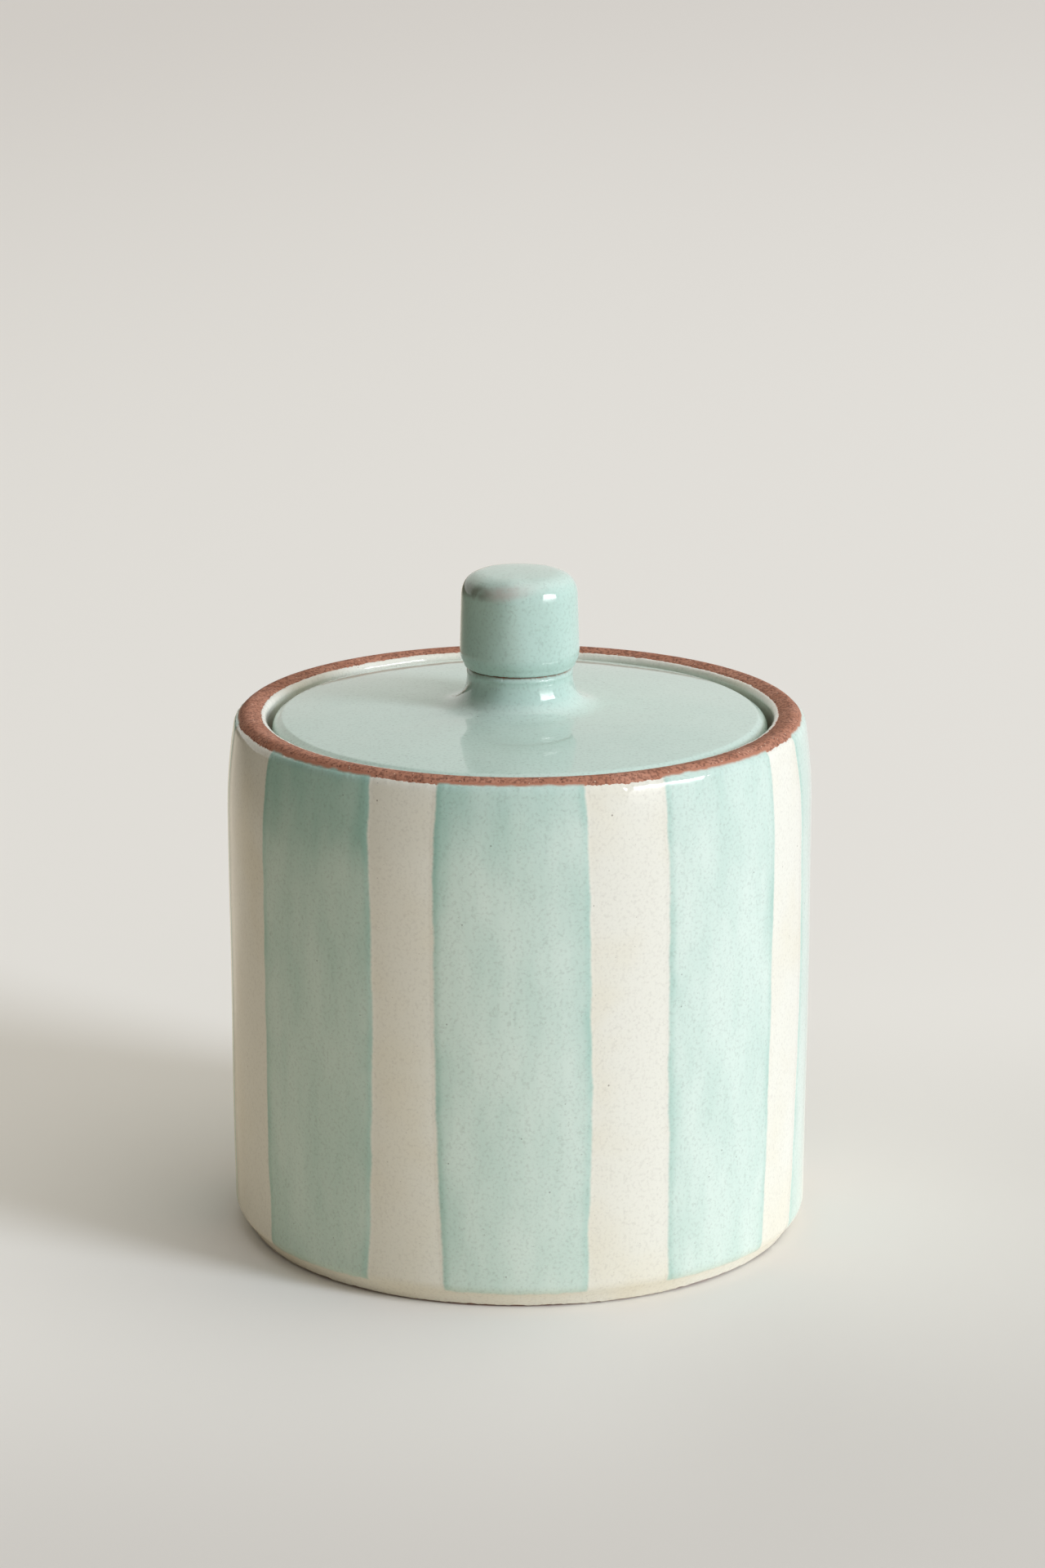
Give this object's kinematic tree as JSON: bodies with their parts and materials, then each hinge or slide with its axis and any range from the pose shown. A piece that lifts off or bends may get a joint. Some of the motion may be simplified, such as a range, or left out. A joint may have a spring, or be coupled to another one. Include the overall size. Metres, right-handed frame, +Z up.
{
  "type": "bathroom storage jar",
  "caption": "Round terracotta storage jar with painted vertical stripes, a bare lip and a drop-in glazed lid with a turned knob, for small bathroom things.",
  "frame": {"origin": "centre of the foot, on the surface that the jar stands on", "axes": "+Z up along the jar's own axis, -Y towards the front that the picture shows"},
  "size_m": [0.1, 0.1, 0.1146],
  "materials": {
    "terracotta": "matte",
    "cream_glaze": "gloss",
    "mint_glaze": "gloss"
  },
  "bodies": {
    "jar": {"jar_body": "terracotta", "outer_glaze": "cream_glaze", "recess_glaze": "cream_glaze", "lining_glaze": "cream_glaze", "stripe_1": "mint_glaze", "stripe_2": "mint_glaze", "stripe_3": "mint_glaze", "stripe_4": "mint_glaze", "stripe_5": "mint_glaze", "stripe_6": "mint_glaze", "stripe_7": "mint_glaze", "stripe_8": "mint_glaze"},
    "lid": {"lid_plate": "terracotta", "lid_glaze": "mint_glaze", "knob": "terracotta", "knob_glaze": "mint_glaze"}
  },
  "joints": [
    {"name": "lid_lift", "type": "slide", "parent": "jar", "child": "lid", "axis": [0, 0, 1], "range_m": [0, 0.08]}
  ]
}
